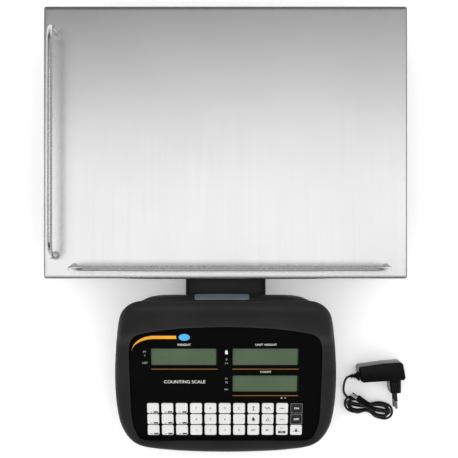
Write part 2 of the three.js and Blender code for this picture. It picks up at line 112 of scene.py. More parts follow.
def add_area_light(name, location, target, width, height, watts, mirrored=True, turn=0):
    data = bpy.data.lights.new(name, "AREA")
    data.shape = "RECTANGLE"
    data.size = width
    data.size_y = height
    data.energy = watts
    light = new_object(name, data)
    light.location = location
    direction = Vector(target) - Vector(location)
    light.rotation_euler = direction.to_track_quat("-Z", "Y").to_euler()
    light.rotation_euler.rotate_axis("Z", math.radians(turn))
    light.visible_glossy = mirrored


def add_lights():
    add_area_light("softbox", (0.1, 0.0, 2.35), (0.1, 0.0, 0), 2.4, 0.66, 7.8, turn=2.5)
    add_area_light("softbox_back", (0.1, 0.5, 2.35), (0.1, 0.5, 0), 2.4, 0.34, 1.8, turn=4)
    add_area_light("fill", (0, -0.1, 2.9), (0, 0, 0), 5, 5, 126, mirrored=False)
    add_world()
    bpy.context.scene.view_settings.view_transform = "Standard"


def add_world():
    """A white tent round the object, with a dark roof over it."""
    world = bpy.data.worlds.new("studio")
    world.use_nodes = True
    nodes, links = world.node_tree.nodes, world.node_tree.links
    direction = nodes.new("ShaderNodeTexCoord")
    parts = nodes.new("ShaderNodeSeparateXYZ")
    links.new(direction.outputs["Generated"], parts.inputs["Vector"])
    height = ramp_node(nodes, links, parts.outputs["Z"], 0.3, 0.66)
    colour = mix_colours(nodes, links, height, 0.8, 0.1)
    links.new(colour, nodes["Background"].inputs["Color"])
    bpy.context.scene.world = world


def add_floor():
    mesh = bpy.data.meshes.new("floor")
    size = 6
    corners = [(-size, -size, 0), (size, -size, 0), (size, size, 0), (-size, size, 0)]
    mesh.from_pydata(corners, [], [(0, 1, 2, 3)])
    floor = new_object("floor", mesh)
    material, nodes, links, shader = new_material("floor_white")
    shader.inputs["Roughness"].default_value = 0.9
    shader.inputs["Specular IOR Level"].default_value = 0.1
    shader.inputs["Emission Color"].default_value = (1, 1, 1, 1)
    shader.inputs["Emission Strength"].default_value = 0.18
    mottle(nodes, links, shader, 0.93, 0.95, 3)
    mesh.materials.append(material)


# ---- materials ----


def new_material(name):
    material = bpy.data.materials.new(name)
    material.use_nodes = True
    tree = material.node_tree
    return material, tree.nodes, tree.links, tree.nodes["Principled BSDF"]


def noise_node(nodes, links, scale, detail=3, stretch=None):
    place = nodes.new("ShaderNodeTexCoord")
    noise = nodes.new("ShaderNodeTexNoise")
    noise.inputs["Scale"].default_value = scale
    noise.inputs["Detail"].default_value = detail
    source = place.outputs["Object"]
    if stretch:
        mapping = nodes.new("ShaderNodeMapping")
        mapping.inputs["Scale"].default_value = stretch
        links.new(source, mapping.inputs["Vector"])
        source = mapping.outputs["Vector"]
    links.new(source, noise.inputs["Vector"])
    return noise


def ramp_node(nodes, links, source, low, high, start=0.0, end=1.0):
    """Spreads the part of a value between low and high over start to end."""
    spread = nodes.new("ShaderNodeMapRange")
    spread.inputs["From Min"].default_value = low
    spread.inputs["From Max"].default_value = high
    spread.inputs["To Min"].default_value = start
    spread.inputs["To Max"].default_value = end
    links.new(source, spread.inputs["Value"])
    return spread.outputs["Result"]


def mix_colours(nodes, links, factor, first, second):
    """Each colour is a grey level, a (red, green, blue) tuple or another node's socket."""
    mix = nodes.new("ShaderNodeMix")
    mix.data_type = "RGBA"
    links.new(factor, mix.inputs["Factor"])
    for socket, value in ((mix.inputs[6], first), (mix.inputs[7], second)):
        if isinstance(value, float):
            socket.default_value = (value, value, value, 1)
        elif isinstance(value, tuple):
            socket.default_value = (*value, 1)
        else:
            links.new(value, socket)
    return mix.outputs[2]


def mottle(nodes, links, shader, first, second, scale, edge_sheen=None):
    """Colour that drifts between two shades, and a lighter third one painted on sharp edges as a
    highlight.
    """
    noise = noise_node(nodes, links, scale)
    factor = ramp_node(nodes, links, noise.outputs["Fac"], 0.35, 0.65)
    colour = mix_colours(nodes, links, factor, first, second)
    if edge_sheen:
        # Painted highlight: pointiness finds the sharp edges, and they are lightened as if they caught the
        # light.
        geometry = nodes.new("ShaderNodeNewGeometry")
        edge = ramp_node(nodes, links, geometry.outputs["Pointiness"], 0.56, 0.68)
        colour = mix_colours(nodes, links, edge, colour, edge_sheen)
    links.new(colour, shader.inputs["Base Color"])


def vary_roughness(nodes, links, shader, low, high, scale, stretch=None):
    noise = noise_node(nodes, links, scale, 4, stretch)
    roughness = ramp_node(nodes, links, noise.outputs["Fac"], 0.3, 0.7, low, high)
    links.new(roughness, shader.inputs["Roughness"])


def grain(nodes, links, shader, scale, strength, distance, stretch=None):
    noise = noise_node(nodes, links, scale, 2, stretch)
    bump = nodes.new("ShaderNodeBump")
    bump.inputs["Strength"].default_value = strength
    bump.inputs["Distance"].default_value = distance
    links.new(noise.outputs["Fac"], bump.inputs["Height"])
    links.new(bump.outputs["Normal"], shader.inputs["Normal"])


def plastic(name, first, second, rough, grain_scale=2600, strength=0.12, edge_sheen=None, level=0.5):
    material, nodes, links, shader = new_material(name)
    shader.inputs["Specular IOR Level"].default_value = level
    mottle(nodes, links, shader, first, second, 22, edge_sheen)
    vary_roughness(nodes, links, shader, rough - 0.05, rough + 0.06, 35)
    grain(nodes, links, shader, grain_scale, strength, 0.0001)
    return name, material


def metal(name, first, second, rough, stretch=None, scale=120, strength=0.03):
    material, nodes, links, shader = new_material(name)
    shader.inputs["Metallic"].default_value = 1
    mottle(nodes, links, shader, first, second, 9)
    vary_roughness(nodes, links, shader, *rough, scale, stretch)
    if strength:
        grain(nodes, links, shader, scale, strength, 0.00005, stretch)
    return name, material


def make_materials():
    return dict([
        metal("stainless_sheet", 0.6, 0.63, (0.222, 0.24), (260, 7, 260), 1, 0),
        metal("rail_rod", 0.62, 0.66, (0.24, 0.3), strength=0),
        metal("cast_aluminium", (0.42, 0.43, 0.44), (0.5, 0.5, 0.51), (0.42, 0.56), None, 900, 0.2),
        metal("cell_aluminium", (0.62, 0.63, 0.65), (0.7, 0.71, 0.72), (0.28, 0.4), (900, 14, 900),
              1, 0.05),
        metal("bolt_steel", (0.5, 0.5, 0.52), 0.6, (0.25, 0.4)),
        # The seventh value of black_paint, shell_black and adapter_black is the lighter shade of a painted
        # highlight on their sharp edges.
        plastic("black_paint", 0.008, 0.012, 0.42, 1500, 0.25, 0.04, 0.25),
        plastic("shell_black", 0.0095, 0.0125, 0.46, 2400, 0.16, 0.03, 0.28),
        plastic("panel_film", 0.0014, 0.0019, 0.4, 3200, 0.06, level=0.05),
        plastic("lcd_green", (0.065, 0.105, 0.055), (0.08, 0.12, 0.068), 0.3, 3200, 0.03),
        plastic("lcd_frame", (0.004, 0.005, 0.004), (0.006, 0.007, 0.006), 0.5),
        plastic("circuit_board", (0.015, 0.09, 0.04), (0.02, 0.12, 0.05), 0.4),
        plastic("battery_wrap", (0.03, 0.06, 0.17), (0.035, 0.07, 0.2), 0.35),
        plastic("socket_black", (0.01, 0.01, 0.011), (0.014, 0.014, 0.015), 0.4),
        plastic("lens_grey", (0.105, 0.13, 0.155), (0.16, 0.19, 0.22), 0.3, 700, 0.2),
        plastic("key_white", (0.69, 0.69, 0.68), (0.73, 0.73, 0.72), 0.42, 2600, 0.05),
        plastic("key_black", (0.006, 0.006, 0.007), (0.009, 0.009, 0.01), 0.42),
        plastic("foot_rubber", 0.012, (0.02, 0.02, 0.019), 0.8, 1800, 0.3),
        plastic("adapter_black", 0.0032, 0.0045, 0.27, 2200, 0.06, 0.035, 0.09),
        plastic("cord_black", 0.0035, 0.005, 0.34, 1400, 0.05, level=0.3),
        plastic("print_white", 0.78, 0.86, 0.5),
        plastic("print_grey", (0.3, 0.3, 0.31), (0.36, 0.36, 0.37), 0.5),
        plastic("print_black", 0.03, 0.045, 0.5),
        plastic("print_amber", (0.82, 0.36, 0.008), (0.88, 0.4, 0.012), 0.5),
        plastic("print_brown", (0.2, 0.075, 0.008), (0.26, 0.1, 0.012), 0.5),
        plastic("print_blue", (0.05, 0.36, 0.78), (0.09, 0.45, 0.86), 0.45),
    ])


# ---- mesh tools ----


def finish_piece(obj, material, body, replaced=()):
    obj.data.materials.append(MATERIALS[material])
    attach(obj, body)
    if replaced:
        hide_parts(*replaced)
    return obj


def mesh_object(name, points, faces, material, body, slot=None, replaced=(), sharp=32):
    """A smooth-shaded mesh piece with outward faces; edges over the sharp angle stay crisp."""
    mesh = bpy.data.meshes.new(name)
    mesh.from_pydata(points, [], faces)
    shape = bmesh.new()
    shape.from_mesh(mesh)
    bmesh.ops.recalc_face_normals(shape, faces=shape.faces)
    shape.to_mesh(mesh)
    shape.free()
    mesh.shade_smooth()
    mesh.set_sharp_from_angle(angle=math.radians(sharp))
    obj = new_object(name, mesh)
    return finish_piece(obj, material, body, replaced)


def loft(rings):
    """Points and faces of a closed skin over rings of equal length."""
    count = len(rings[0])
    points = [p for ring in rings for p in ring]
    faces = []
    for i in range(len(rings) - 1):
        for j in range(count):
            k = (j + 1) % count
            faces.append((i * count + j, i * count + k, (i + 1) * count + k, (i + 1) * count + j))
    faces.append(tuple(reversed(range(count))))
    faces.append(tuple(range((len(rings) - 1) * count, len(rings) * count)))
    return points, faces


def merge_parts(parts):
    """One list of points and faces from several."""
    points, faces = [], []
    for part_points, part_faces in parts:
        offset = len(points)
        points += part_points
        faces += [tuple(i + offset for i in face) for face in part_faces]
    return points, faces


def moved(part, matrix):
    points, faces = part
    return [matrix @ Vector(p) for p in points], faces


def polar_ring(count, reach_at, level):
    """A ring round Z at a level, whose radius depends on the angle; both are given in mm."""
    ring = []
    for i in range(count):
        angle = 2 * math.pi * i / count
        reach = reach_at(angle)
        ring.append(Vector((reach * math.cos(angle), reach * math.sin(angle), level)) * MM)
    return ring


def lathe(profile, segments=40):
    """A body turned about Z from (radius, height) pairs in mm; the ends are capped."""
    return loft([polar_ring(segments, lambda angle: radius, height) for radius, height in profile])


def rounded_rectangle(width, height, radius, steps=5):
    """Corner-rounded rectangle about the origin, anticlockwise, as (x, y) pairs."""
    points = []
    for corner, (sx, sy) in enumerate(((1, -1), (1, 1), (-1, 1), (-1, -1))):
        for i in range(steps + 1):
            angle = (corner - 1 + i / steps) * math.pi / 2
            points.append((
                sx * (width / 2 - radius) + radius * math.cos(angle),
                sy * (height / 2 - radius) + radius * math.sin(angle),
            ))
    return points


def rectangle_rings(sizes, radius, place, steps=5):
    """Rings of (width, height, level) rectangles; place turns (x, y, level) into a point."""
    rings = []
    largest = max(width for width, _, _ in sizes)
    for width, height, level in sizes:
        corner = max(0.15, radius - (largest - width) / 2)
        rings.append([place(x, y, level) for x, y in rounded_rectangle(width, height, corner, steps)])
    return rings


def curve_through(points, per_side):
    """A dense Catmull-Rom curve from the second point to just before the last but one."""
    dense = []
    for i in range(1, len(points) - 2):
        for j in range(per_side):
            dense.append(spline_point(*points[i - 1:i + 3], j / per_side))
    return dense


def smooth_path(points, per_side):
    """An open curve through all of its points, as a dense list."""
    before = 2 * points[0] - points[1]
    after = 2 * points[-1] - points[-2]
    return curve_through([before, *points, after], per_side) + points[-1:]


def relaxed(points, rounds):
    """The path with its kinks evened out; its two points at each end stay."""
    for _ in range(rounds):
        inner = [(a + 2 * b + c) / 4 for a, b, c in zip(points[1:], points[2:], points[3:-1])]
        points = points[:2] + inner + points[-2:]
    return points


def spline_point(p0, p1, p2, p3, t):
    a = 2 * p1
    b = (p2 - p0) * t
    c = (2 * p0 - 5 * p1 + 4 * p2 - p3) * t * t
    d = (3 * p1 - p0 - 3 * p2 + p3) * t * t * t
    return (a + b + c + d) / 2


def ray_reach(loop, angle):
    """How far a ray from the origin runs before it meets a closed outline round it."""
    dx, dy = math.cos(angle), math.sin(angle)
    for i, p in enumerate(loop):
        q = loop[(i + 1) % len(loop)]
        ex, ey = q.x - p.x, q.y - p.y
        cross = dx * ey - dy * ex
        if abs(cross) < 1e-12:
            continue
        reach = (p.x * ey - p.y * ex) / cross
        along = (p.x * dy - p.y * dx) / cross
        if reach > 0 and -1e-9 <= along <= 1 + 1e-9:
            return reach
    raise ValueError("the outline doesn't go round the origin")


def smoothstep(low, high, value):
    t = min(1, max(0, (value - low) / (high - low)))
    return t * t * (3 - 2 * t)


def tube_curve(name, points, radius, material, body, replaced):
    """A round rod or cord along a list of points, as one open spline."""
    curve = bpy.data.curves.new(name, "CURVE")
    curve.dimensions = "3D"
    curve.bevel_depth = radius
    curve.bevel_resolution = 5
    curve.use_fill_caps = True
    spline = curve.splines.new("POLY")
    spline.points.add(len(points) - 1)
    for target, point in zip(spline.points, points):
        target.co = (*point, 1)
    spline.use_smooth = True
    return finish_piece(new_object(name, curve), material, body, replaced=replaced)


def flat_plate(name, outlines, low, high, material, body, replaced):
    """A plate on the indicator's face between two levels; the first outline is its edge."""
    curve = bpy.data.curves.new(name, "CURVE")
    curve.dimensions = "2D"
    curve.fill_mode = "BOTH"
    curve.extrude = (high - low) / 2 * MM
    for outline in outlines:
        spline = curve.splines.new("POLY")
        spline.points.add(len(outline) - 1)
        for target, (u, v) in zip(spline.points, outline):
            target.co = (u * MM, v * MM, 0, 1)
        spline.use_cyclic_u = True
    holder = new_object(name + "_shape", curve)
    bpy.context.view_layer.update()
    evaluated = holder.evaluated_get(bpy.context.evaluated_depsgraph_get())
    flat = evaluated.to_mesh()
    matrix = FACE_MATRIX @ Matrix.Translation((0, 0, (high + low) / 2 * MM))
    points = [matrix @ v.co for v in flat.vertices]
    faces = [tuple(p.vertices) for p in flat.polygons]
    evaluated.to_mesh_clear()
    bpy.data.objects.remove(holder)
    bpy.data.curves.remove(curve)
    mesh_object(name, points, faces, material, body, replaced=replaced)


def refined_copy(node, name, material, body, bevel):
    """The CAD node's own shape with its sharp edges rounded."""
    source = NODES[node]
    shape = bmesh.new()
    shape.from_mesh(source.data)
    bmesh.ops.remove_doubles(shape, verts=shape.verts, dist=1e-6)
    bmesh.ops.dissolve_limit(
        shape, angle_limit=math.radians(1), verts=shape.verts, edges=shape.edges)
    mesh = bpy.data.meshes.new(name)
    shape.to_mesh(mesh)
    shape.free()
    obj = new_object(name, mesh)
    rounding = obj.modifiers.new("rounding", "BEVEL")
    rounding.width = bevel * MM
    rounding.segments = 3
    rounding.limit_method = "ANGLE"
    rounding.angle_limit = math.radians(35)
    bpy.context.view_layer.update()
    evaluated = obj.evaluated_get(bpy.context.evaluated_depsgraph_get())
    rounded = bpy.data.meshes.new_from_object(evaluated)
    obj.modifiers.clear()
    obj.data = rounded
    rounded.materials.clear()
    rounded.shade_smooth()
    rounded.set_sharp_from_angle(angle=math.radians(30))
    finish_piece(obj, material, body, replaced=(node,))


# ---- adapter and its cord ----

ADAPTER_MATRIX = (Matrix.Translation((0.1808, -0.160, 0)) @ Matrix.Rotation(math.radians(3.5), 4, "Z"))
ADAPTER_LENGTH = 52
ADAPTER_DEPTH = 21
ADAPTER_HEIGHT = 38
ADAPTER_SKEW = 0.12  # the end faces lean by this much of the depth
RELIEF_SIDE = -4  # off the middle of the end face
RELIEF_REACH = 9.8
PLUG_ALONG = 15  # the plug block's place along the housing, from its middle
PIN_SPACING = 19
CORD_RADIUS = 1.3
# The cord's points from inside the strain relief to the hank.
CORD_ROUTE = [
    (0.1485, -0.16605, 0.019), (0.1452, -0.16625, 0.019), (0.142, -0.1676, 0.018),
    (0.1402, -0.1706, 0.0158), (0.1392, -0.175, 0.0124), (0.1388, -0.18, 0.0086),
    (0.139, -0.1846, 0.0054), (0.1401, -0.1886, 0.0034), (0.1428, -0.1922, 0.0027),
    (0.1474, -0.1946, 0.0032), (0.1532, -0.1954, 0.0052),
]
HANK_MATRIX = (Matrix.Translation((0.168, -0.204, 0)) @ Matrix.Rotation(math.radians(-13), 4, "Z"))
HANK_REACH = 29
TURN_STEP = 1.5  # each turn folds this much short of the one before
FOLD_RADIUS = 9.2
TIED_RADIUS = 4.4
CORE_RADIUS = 1.9
# Where each turn lies round the hank's axis, in degrees; two turns make the core of the tied waist.
TURN_ANGLES = (-14, 76, 46, 1, -44, -89)
CORE_TURNS = (0, 1)
DC_PLUG_MATRIX = (
    Matrix.Translation((0.175, -0.2061, 0.0228)) @ Matrix.Rotation(math.radians(-35), 4, "Z")
    @ Matrix.Rotation(math.radians(-94), 4, "Y"))


def hank_point(turn, side, share, fold=0.0):
    """A point of a turn of the hank, in mm in its own frame.

    The two strands of a turn lie opposite each other on a ring round the hank's axis, which is
    tight at the tie and opens towards the ends. share runs from the tie to the fold, and fold
    turns from one strand, at 0, to the other, at pi.
    """
    straight = HANK_REACH - TURN_STEP * turn - FOLD_RADIUS
    open_share = smoothstep(0.05, 0.75, share)
    tied = CORE_RADIUS if turn in CORE_TURNS else TIED_RADIUS
    ring = (tied + (FOLD_RADIUS - tied) * open_share) * math.cos(fold)
    angle = math.radians(TURN_ANGLES[turn])
    middle = TIED_RADIUS + CORD_RADIUS + 0.2 + (FOLD_RADIUS - TIED_RADIUS) * 0.92 * open_share
    along = straight * share + FOLD_RADIUS * math.sin(fold)
    return Vector((side * along, ring * math.cos(angle), middle + 0.94 * ring * math.sin(angle)))


def half_turn(turn, side):
    """From the tie to one end and back; the left half is run through the other way round."""
    steps = (0.2, 0.45, 0.72)
    points = [hank_point(turn, side, share) for share in steps]
    points += [hank_point(turn, side, 1, math.pi / 5 * i) for i in range(6)]
    points += [hank_point(turn, side, share, math.pi) for share in reversed(steps)]
    return points if side > 0 else points[::-1]


def hank_points():
    """All turns in order; the last one ends on its way back to the tie, behind the barrel plug."""
    points = [hank_point(0, -1, share) for share in (0.42, 0.2)]
    last = len(TURN_ANGLES) - 1
    for turn in range(last):
        points += half_turn(turn, 1) + half_turn(turn, -1)
    return points + half_turn(last, 1)[:-4]


def add_cord():
    """One curve from the strain relief through the hank's turns into the barrel plug."""
    route = [Vector(p) for p in CORD_ROUTE]
    folded = [HANK_MATRIX @ (p * MM) for p in hank_points()]
    tail = [DC_PLUG_MATRIX @ (Vector((0, 0, z)) * MM) for z in (0, 3)]
    points = relaxed(smooth_path(route + folded + tail, 4), 10)
    length = sum((b - a).length for a, b in zip(points, points[1:]))
    cord = tube_curve("cord", points, CORD_RADIUS * MM, "cord_black", "adapter",
                      replaced=("adapter_cord", "cord_hank"))
    return cord, points[0], length


def add_dc_plug():
    """The barrel plug, built along +Z from its cord end and laid on the hank."""
    body = [(0, 0), (1.6, 0), (1.8, 0.3)]
    for i in range(4):
        z = 1 + 2 * i
        rib = 2.4 + 0.3 * i
        neck = 1.7 + 0.3 * i
        body += [(rib, z), (rib, z + 0.9), (neck, z + 1.1), (neck, z + 1.8)]
    body += [(3.2, 9.2), (3.6, 9.8), (3.8, 11), (3.9, 24.5), (3.7, 25.7), (3.1, 26.4), (0, 26.4)]
    barrel = [(0, 26), (2.32, 26), (2.35, 30.5), (2.1, 30.7), (2.1, 31.3), (2.35, 31.5), (2.35, 33.5),
              (2.1, 33.8), (1, 33.8), (0.95, 29), (0, 29)]
    moulded = mesh_object("dc_plug_body", *moved(lathe(body), DC_PLUG_MATRIX), "adapter_black",
                          "adapter", replaced=("dc_plug",))
    contact = mesh_object("dc_plug_barrel", *moved(lathe(barrel), DC_PLUG_MATRIX), "bolt_steel",
                          "adapter")
    return [moulded, contact]


def add_cord_tie():
    """A soft strap round the hank's waist, flat where it would touch the table."""
    radius = TIED_RADIUS + CORD_RADIUS
    rings = []
    for x, grow in ((-2.6, -0.3), (-2.4, 0.3), (2.4, 0.3), (2.6, -0.3)):
        ring = []
        for point in polar_ring(48, lambda angle: radius + grow, 0):
            height = max(0.1 * MM, radius * MM + point.y)
            ring.append(HANK_MATRIX @ Vector((x * MM, point.x, height)))
        rings.append(ring)
    return mesh_object("cord_tie", *loft(rings), "cord_black", "adapter", sharp=50)


def add_adapter():
    """The housing stands on its long edge: its depth runs along Y and its height along Z."""
    half = ADAPTER_LENGTH / 2
    middle = ADAPTER_HEIGHT / 2
    # Sections along the length: the ends are chamfered, and the back is lower at the cord's end.
    chamfer = [(half - 2.3, 0), (half - 1.9, 0.4), (half - 0.3, 2.0), (half, 2.4)]
    sections = [(-x, inset) for x, inset in reversed(chamfer)] + [(-15, 0), (-5, 0), (5, 0)] + chamfer
    rings = []
    for x, inset in sections:
        bow = 2.6 * (1 - smoothstep(-half - 4, half * 0.4, x))
        outline = rounded_rectangle(ADAPTER_DEPTH - 2 * inset - bow, ADAPTER_HEIGHT - inset, 1.6, 4)
        rings.append([Vector((x - ADAPTER_SKEW * y, y - bow / 2, z + middle)) * MM
                      for y, z in outline])
    mesh_object("adapter_case", *moved(loft(rings), ADAPTER_MATRIX), "adapter_black", "adapter",
                replaced=("adapter_housing",), sharp=20)
    relief = [(0, -1), (6.2, -1), (6.2, 0.2), (5.6, 0.8), (2.7, 3.5), (2.1, 4.1)]
    neck = 1.7
    for i in range(3):
        z = 4.2 + 1.85 * i
        rib = 3.5 - 0.2 * i
        relief += [(rib - 0.2, z), (rib, z + 0.2), (rib, z + 0.6), (rib - 0.2, z + 0.8)]
        relief += [(neck, z + 0.9), (neck, z + 1.75)]
    relief += [(neck, RELIEF_REACH), (0, RELIEF_REACH)]
    turn = (ADAPTER_MATRIX @ Matrix.Translation((-half * MM, RELIEF_SIDE * MM, middle * MM))
            @ Matrix.Rotation(math.radians(-90), 4, "Y"))
    mesh_object("strain_relief", *moved(lathe(relief), turn), "adapter_black", "adapter")


def add_mains_plug():
    """A flat two-pin plug block with a grip, and pins that are sleeved over half their length."""
    sizes = [(14.3, 35.9, -0.4), (14.1, 35.7, 1), (13.7, 35.3, 3), (12.4, 34.2, 14), (11.6, 33.4, 15),
             (9.6, 31.4, 15.3)]
    parts = [loft(rectangle_rings(sizes, 5.2, lambda x, y, z: Vector((x, y, z)) * MM, 7))]
    rib = [(1.1, 35.8, 2.5), (1.1, 34.6, 13)]
    for shift in (-3.6, -1.2, 1.2, 3.6):
        parts.append(loft(rectangle_rings(
            rib, 0.5, lambda x, y, z: Vector((x + shift, y, z)) * MM, 2)))
    sleeve = [(0, 14), (1.95, 14), (1.95, 24.8), (1.9, 25), (0, 25)]
    tip = [(0, 24.6), (1.7, 24.6), (2.0, 25), (2.0, 32.4), (1.7, 33.4), (1, 34), (0, 34.15)]
    tips = []
    for side in (-1, 1):
        shift = Matrix.Translation((0, side * PIN_SPACING / 2 * MM, 0))
        parts.append(moved(lathe(sleeve, 24), shift))
        tips.append(moved(lathe(tip, 24), shift))
    place = Vector((PLUG_ALONG, 0.3 - ADAPTER_DEPTH / 2, ADAPTER_HEIGHT / 2)) * MM
    turn = (ADAPTER_MATRIX @ Matrix.Translation(place)
            @ Matrix.Rotation(math.radians(90), 4, "X"))
    mesh_object("mains_plug_block", *moved(merge_parts(parts), turn), "adapter_black", "adapter",
                replaced=("adapter_plug",))
    mesh_object("mains_plug_pins", *moved(merge_parts(tips), turn), "bolt_steel", "adapter")


# ---- platform ----

RAIL_RADIUS = 0.003
RAIL_BEND = 0.016
POST_X = 0.150  # the carrier's posts, from the middle of the platter
POST_Y = 0.105


def add_platter():
    """The upturned pan: folded edges of a small radius and walls of sheet thickness."""
    width, depth, rim = (PLATTER_HIGH - PLATTER_LOW) / MM
    sheet = 1.5
    bend = 1.9
    sizes = [(width - 2 * sheet, depth - 2 * sheet, -sheet),
             (width - 2 * sheet, depth - 2 * sheet, -rim + 0.3),
             (width - 2.6, depth - 2.6, -rim), (width - 0.4, depth - 0.4, -rim),
             (width, depth, -rim + 0.3), (width, depth, -bend - 3)]
    for i in range(6):
        angle = math.pi / 2 * i / 5
        inset = 2 * bend * (1 - math.cos(angle))
        sizes.append((width - inset, depth - inset, -bend + bend * math.sin(angle)))
    sizes.append((width - 2 * bend - 6, depth - 2 * bend - 6, 0))
    top_middle = Vector((PLATTER_MIDDLE.x, PLATTER_MIDDLE.y, PLATTER_HIGH.z))
    rings = rectangle_rings(sizes, 3.2, lambda x, y, z: top_middle + Vector((x, y, z)) * MM)
    mesh_object("platter_pan", *loft(rings), "stainless_sheet", "platter", replaced=("platter",),
                sharp=40)


def rail_points(start, end):
    """Up from start, round a bend, level, round a bend and down to end."""
    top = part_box("side_rail")[1].z - RAIL_RADIUS - 0.0008
    along = (end - start).normalized()
    straight = top - RAIL_BEND
    half = [Vector((0, 0, start.z + (straight - start.z) * i / 4)) for i in range(4)]
    for i in range(11):
        angle = math.pi / 2 * i / 10
        rise = Vector((0, 0, straight + RAIL_BEND * math.sin(angle)))
        half.append(along * RAIL_BEND * (1 - math.cos(angle)) + rise)
    first = [Vector((start.x, start.y, 0)) + p for p in half]
    second = [Vector((end.x - p.x, end.y - p.y, p.z)) for p in reversed(half)]
    middle = [first[-1].lerp(second[0], i / 6) for i in range(1, 6)]
    return first + middle + second


def add_rails():
    foot = PLATTER_HIGH.z - 0.0005
    weld = [(3.0, 1.9), (3.3, 1.2), (3.9, 0.7), (4.7, 0.35), (5.0, 0.0), (2.5, 0.0)]
    beads = []
    for node, reach in (("side_rail", Vector((0, 1, 0))), ("front_rail", Vector((1, 0, 0)))):
        low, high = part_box(node)
        middle = Vector(((low.x + high.x) / 2, (low.y + high.y) / 2, foot))
        half = reach * ((high - low).dot(reach) / 2 - RAIL_RADIUS)
        tube_curve(node + "_rod", rail_points(middle - half, middle + half), RAIL_RADIUS, "rail_rod",
                   "platter", replaced=(node,))
        for point in (middle - half, middle + half):
            place = Matrix.Translation((point.x, point.y, PLATTER_HIGH.z))
            beads.append(moved(lathe(weld, 28), place))
    mesh_object("rail_welds", *merge_parts(beads), "rail_rod", "platter")


def hexagon_factor(angle):
    return math.cos(math.pi / 6) / math.cos((angle % (math.pi / 3)) - math.pi / 6)


def socket_screw(radius, height):
    """A cap screw's head along +Z in mm, with a hexagonal socket in its top."""
    rings = []
    for reach, level in ((radius, 0), (radius, height - 0.5), (radius - 0.15, height - 0.15),
                         (radius - 0.5, height)):
        rings.append(polar_ring(36, lambda angle: reach, level))
    for level in (height, 0.45 * height):
        rings.append(polar_ring(36, lambda angle: 0.55 * radius * hexagon_factor(angle), level))
    return loft(rings)


def aim(position, axis):
    """A matrix that takes +Z to an axis at a position."""
    return Matrix.Translation(position) @ Vector(axis).to_track_quat("Z", "Y").to_matrix().to_4x4()


def add_platform():
    refined_copy("base_frame", "base_casting", "cast_aluminium", "base", 1.2)
    refined_copy("platter_carrier", "carrier_spider", "cast_aluminium", "carrier", 0.8)
    refined_copy("load_cell", "load_cell_bar", "cell_aluminium", "base", 0.5)
    carrier_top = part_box("platter_carrier")[1].z
    # Rubber caps on the four posts.
    cap = [(10.2, 0), (11.6, 0.4), (12, 2), (12, 8), (11.6, 9.2), (10.8, 9.7), (0, 9.7)]
    pads = []
    for side in (-1, 1):
        for end in (-1, 1):
            place = (PLATTER_MIDDLE.x + side * POST_X, PLATTER_MIDDLE.y + end * POST_Y,
                     carrier_top - 0.0095)
            pads.append(moved(lathe(cap), Matrix.Translation(place)))
    mesh_object("carrier_pads", *merge_parts(pads), "foot_rubber", "carrier")
    # Two screws at each end of the load cell, and two through the bracket's tongue.
    cell_low, cell_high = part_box("load_cell")
    base_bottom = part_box("base_frame")[0].z
    bracket_low, bracket_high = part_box("mounting_bracket")
    base_screws, top_screws = [], []
    for shift in (-0.010, 0.010):
        y = PLATTER_MIDDLE.y + shift
        under = Vector((cell_low.x + 0.020, y, base_bottom))
        over = Vector((cell_high.x - 0.020, y, carrier_top - 0.024))
        base_screws.append(moved(socket_screw(5, 5.5), aim(under, (0, 0, -1))))
        top_screws.append(moved(socket_screw(5, 5.5), aim(over, (0, 0, 1))))
    for x in (-0.024, 0.024):
        under = Vector((x, bracket_high.y - 0.010, bracket_low.z))
        base_screws.append(moved(socket_screw(4.2, 4), aim(under, (0, 0, -1))))
    mesh_object("base_screws", *merge_parts(base_screws), "bolt_steel", "base")
    mesh_object("carrier_screws", *merge_parts(top_screws), "bolt_steel", "carrier")


def nut_reach(angle, grow):
    """Radius of a hexagonal nut whose corners are rounded off."""
    return min(10.78 * hexagon_factor(angle), 8.67 + grow) * grow


def add_feet():
    """Rubber feet on threaded studs, each locked by a thin nut under the base."""
    base_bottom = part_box("base_frame")[0].z
    pad = [(0, 0.6), (14, 0.6), (15, 0), (17.6, 0), (18.6, 0.6), (19, 1.8), (19, 4.4), (18.4, 4.9),
           (18.4, 5.5), (19, 6), (19, 7.6), (18.3, 9), (14.6, 12.9), (13.4, 13.7), (12, 14), (0, 14)]
    stud = [(0, 13.4), (4.2, 13.4)]
    for i in range(17):
        z = 14 + 1.5 * i
        stud += [(4.3, z), (4.95, z + 0.55), (4.95, z + 0.85), (4.3, z + 1.4)]
    stud += [(3.9, 40), (0, 40)]
    nut = loft([polar_ring(36, lambda angle: nut_reach(angle, grow), level)
                for level, grow in ((0, 0.93), (0.5, 1), (2.6, 1), (3.1, 0.93))])
    nuts = []
    for number in range(1, 5):
        node = "foot_%d" % number
        middle = centre(node)
        place = Matrix.Translation((middle.x, middle.y, 0))
        mesh_object(node + "_pad", *moved(lathe(pad, 56), place), "foot_rubber", node,
                    replaced=(node,))
        mesh_object(node + "_stud", *moved(lathe(stud, 28), place), "bolt_steel", node)
        nuts.append(moved(nut, Matrix.Translation((middle.x, middle.y, base_bottom - 0.0033))))
    mesh_object("lock_nuts", *merge_parts(nuts), "bolt_steel", "base")


